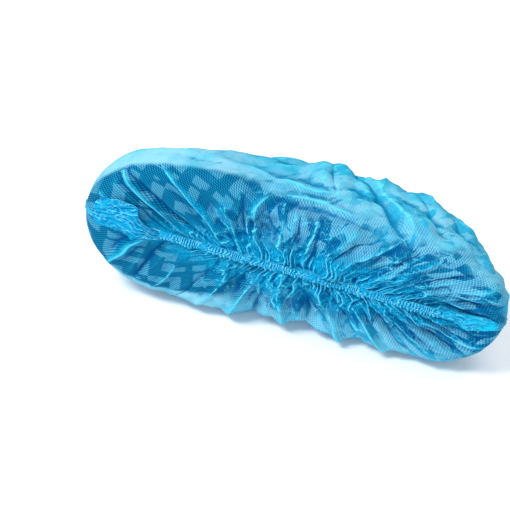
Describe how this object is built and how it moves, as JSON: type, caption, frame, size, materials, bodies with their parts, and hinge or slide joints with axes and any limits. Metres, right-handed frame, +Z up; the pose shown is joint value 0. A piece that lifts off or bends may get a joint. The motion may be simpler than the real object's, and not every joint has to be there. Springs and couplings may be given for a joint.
{
  "type": "shoe cover",
  "caption": "Disposable slip-on overshoe of thin embossed non-woven, gathered along a seam under the sole, with an elasticated opening; it lies on its side.",
  "frame": {"origin": "middle of the overall size in plan, on the surface that the cover lies on", "axes": "+X from the toe to the heel, +Z up, towards the inner side, with the sole facing -Y and the opening facing +Y"},
  "size_m": [0.3238, 0.1048, 0.1206],
  "materials": {
    "cloth": "thin translucent spunbond non-woven, finely embossed, matt",
    "seam": "gathered non-woven over an elastic thread, matt"
  },
  "bodies": {
    "root": {"inner_panel": "cloth", "outer_panel": "cloth", "sole_seam": "seam", "toe_seam": "seam", "heel_seam": "seam", "opening_hem": "cloth", "toe_tuck": "cloth", "heel_tuck": "cloth"}
  },
  "joints": []
}
